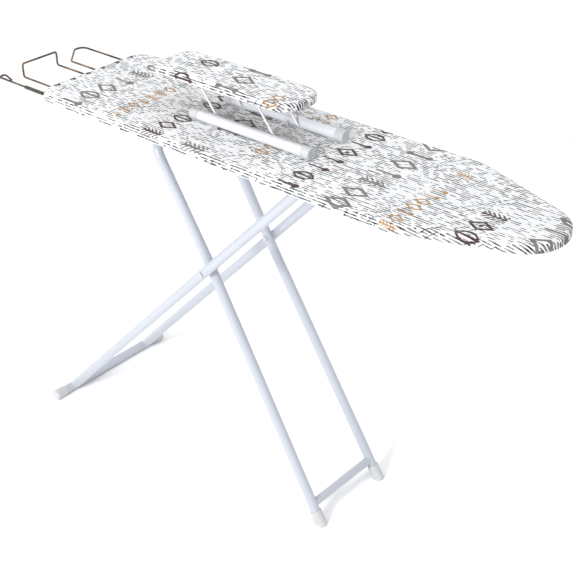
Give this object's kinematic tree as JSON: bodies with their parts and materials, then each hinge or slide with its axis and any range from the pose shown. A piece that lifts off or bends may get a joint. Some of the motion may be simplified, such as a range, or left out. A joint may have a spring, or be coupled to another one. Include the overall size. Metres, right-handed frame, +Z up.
{
  "type": "ironing board",
  "caption": "Folding ironing board with crossed tube legs, printed fabric cover, wire iron rest and a small sleeve board on a wire stand.",
  "frame": {"origin": "on the floor, midway along the overall length and width", "axes": "+X along the board towards the rounded nose, +Y across the board, +Z up"},
  "size_m": [1.4173, 0.37, 0.945],
  "materials": {
    "printed_cotton": "white woven cotton with a fine dark printed line pattern",
    "needle_felt": "needle-punched felt",
    "elastic_cord": "braided elastic",
    "white_enamel": "gloss powder coat",
    "white_wire": "gloss powder-coated wire",
    "bronze_wire": "bronze-tinted bright wire",
    "zinc_steel": "zinc-plated sheet and pins",
    "white_plastic": "satin moulded polyethylene",
    "grey_plastic": "moulded nylon",
    "olive_plastic": "olive vinyl sleeve",
    "hardboard": "pressed hardboard"
  },
  "bodies": {
    "table": {"mesh_pan": "white_enamel", "felt_pad": "needle_felt", "board_cover": "printed_cotton", "hem_elastic": "elastic_cord", "stiffener_left": "white_enamel", "stiffener_right": "white_enamel", "pivot_bracket_left": "zinc_steel", "pivot_bracket_right": "zinc_steel", "rack_left": "zinc_steel", "rack_right": "zinc_steel", "bracket_rivets": "zinc_steel", "rack_rivets": "zinc_steel", "rest_rail": "zinc_steel", "rest_clamp": "zinc_steel", "rest_screws": "zinc_steel", "rest_stop_wire": "bronze_wire", "rest_loop_wire": "bronze_wire", "guide_socket": "white_plastic"},
    "inner_frame": {"inner_leg_left": "white_enamel", "inner_leg_right": "white_enamel", "inner_foot_cap_left": "white_plastic", "inner_foot_cap_right": "white_plastic", "inner_pivot_bar": "white_enamel", "inner_spreader": "white_enamel", "crossing_rivets": "white_enamel", "crossing_spacers": "white_plastic"},
    "outer_frame": {"outer_leg_left": "white_enamel", "outer_leg_right": "white_enamel", "outer_foot_cap_left": "white_plastic", "outer_foot_cap_right": "white_plastic", "outer_foot_bar": "white_enamel", "outer_top_bar": "zinc_steel", "top_bar_bushes": "white_plastic"},
    "release_lever": {"lever_shaft": "zinc_steel", "lever_pawls": "zinc_steel", "lever_handle": "white_enamel", "lever_grip": "grey_plastic", "lever_spring": "zinc_steel"},
    "cord_guide_arm": {"cord_guide": "bronze_wire", "cord_guide_sleeve": "olive_plastic"},
    "sleeve_stand": {"stand_tube_left": "white_enamel", "stand_tube_right": "white_enamel", "stand_cap_rear_left": "white_plastic", "stand_cap_rear_right": "white_plastic", "stand_cap_front_left": "white_plastic", "stand_cap_front_right": "white_plastic", "stand_cross_wire": "white_wire"},
    "rear_loop": {"sleeve_loop_rear": "white_wire"},
    "front_loop": {"sleeve_loop_front": "white_wire"},
    "sleeve_board": {"sleeve_core": "hardboard", "sleeve_pad": "needle_felt", "sleeve_cover": "printed_cotton", "sleeve_elastic": "elastic_cord", "sleeve_clips": "zinc_steel", "sleeve_screws": "zinc_steel"}
  },
  "joints": [
    {"name": "leg_fold", "type": "hinge", "parent": "table", "child": "inner_frame", "pos_m": [-0.24328, 0, 0.8262], "axis": [0, -1, 0], "range_deg": [0, 53.9]},
    {"name": "leg_crossing", "type": "hinge", "parent": "inner_frame", "child": "outer_frame", "pos_m": [-0.0715, 0, 0.535], "axis": [0, -1, 0], "range_deg": [-97.4, 0]},
    {"name": "lever_pull", "type": "hinge", "parent": "table", "child": "release_lever", "pos_m": [0.13494, 0, 0.8157], "axis": [0, 1, 0], "range_deg": [0, 12], "stiffness_Nm_per_rad": 0.4, "springref_deg": -20.05},
    {"name": "cord_guide_tilt", "type": "hinge", "parent": "table", "child": "cord_guide_arm", "pos_m": [-0.5405, -0.112, 0.82725], "axis": [0, 1, 0], "range_deg": [0, 90]},
    {"name": "sleeve_lift", "type": "slide", "parent": "table", "child": "sleeve_stand", "axis": [0, 0, 1], "range_m": [0, 0.12]},
    {"name": "rear_loop_swing", "type": "hinge", "parent": "sleeve_stand", "child": "rear_loop", "pos_m": [-0.0935, 0.006, 0.8631], "axis": [0, 1, 0], "range_deg": [0, 119]},
    {"name": "sleeve_level", "type": "hinge", "parent": "rear_loop", "child": "sleeve_board", "pos_m": [-0.1418, 0.006, 0.92627], "axis": [0, 1, 0], "range_deg": [-119, 0]},
    {"name": "front_loop_swing", "type": "hinge", "parent": "sleeve_stand", "child": "front_loop", "pos_m": [0.0645, 0.006, 0.8631], "axis": [0, 1, 0], "range_deg": [0, 119]}
  ],
  "couplings": [
    {"joint": "leg_crossing", "follows": "leg_fold", "ratio": -1.8045},
    {"joint": "sleeve_level", "follows": "rear_loop_swing", "ratio": -1},
    {"joint": "front_loop_swing", "follows": "rear_loop_swing", "ratio": 1}
  ]
}
